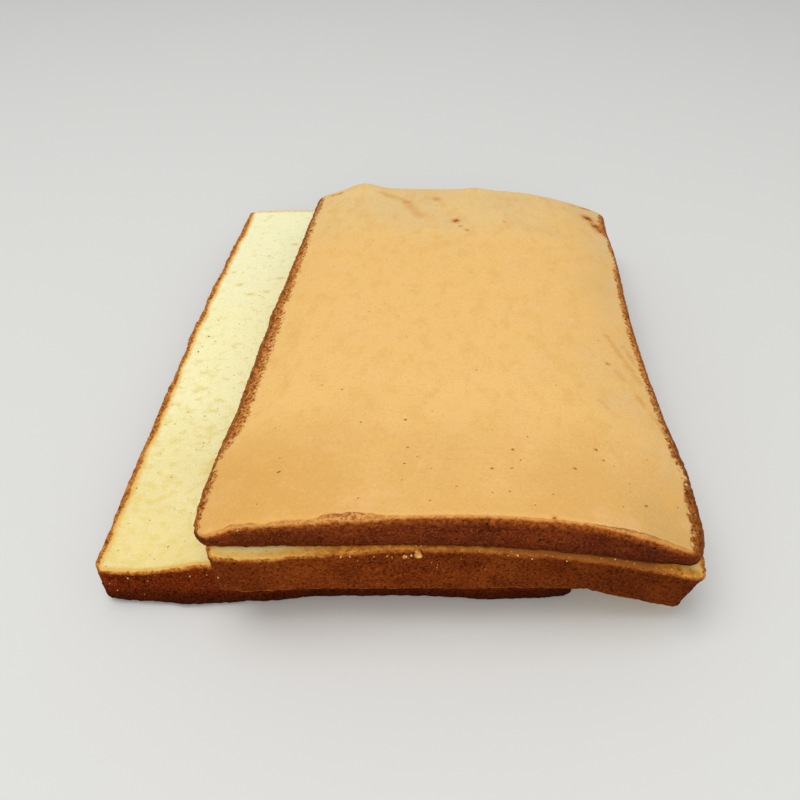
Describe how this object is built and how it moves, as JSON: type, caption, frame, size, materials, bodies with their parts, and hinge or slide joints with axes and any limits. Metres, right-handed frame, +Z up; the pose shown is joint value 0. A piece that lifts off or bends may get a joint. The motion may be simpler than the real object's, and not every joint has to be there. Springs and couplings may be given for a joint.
{
  "type": "sponge cake",
  "caption": "Oblong sponge cake split level into layers that lie as a slid stack, with a domed brown skin, dark crusty sides and pale cut crumb.",
  "frame": {"origin": "middle of the stack's footprint, on the surface that it lies on", "axes": "+X across the cake, the way its upper layers were slid; +Y along the cake, from its front to its back; +Z up"},
  "size_m": [0.3306, 0.4172, 0.0842],
  "materials": {
    "pale_sponge": "matte, porous pale yellow crumb with dark brown baked sides",
    "caramel_skin": "soft sheen, smooth caramel skin with rough dark brown crust round its rim"
  },
  "bodies": {
    "root": {"base_layer": "pale_sponge", "middle_layer": "pale_sponge", "top_layer": "caramel_skin"}
  },
  "joints": []
}
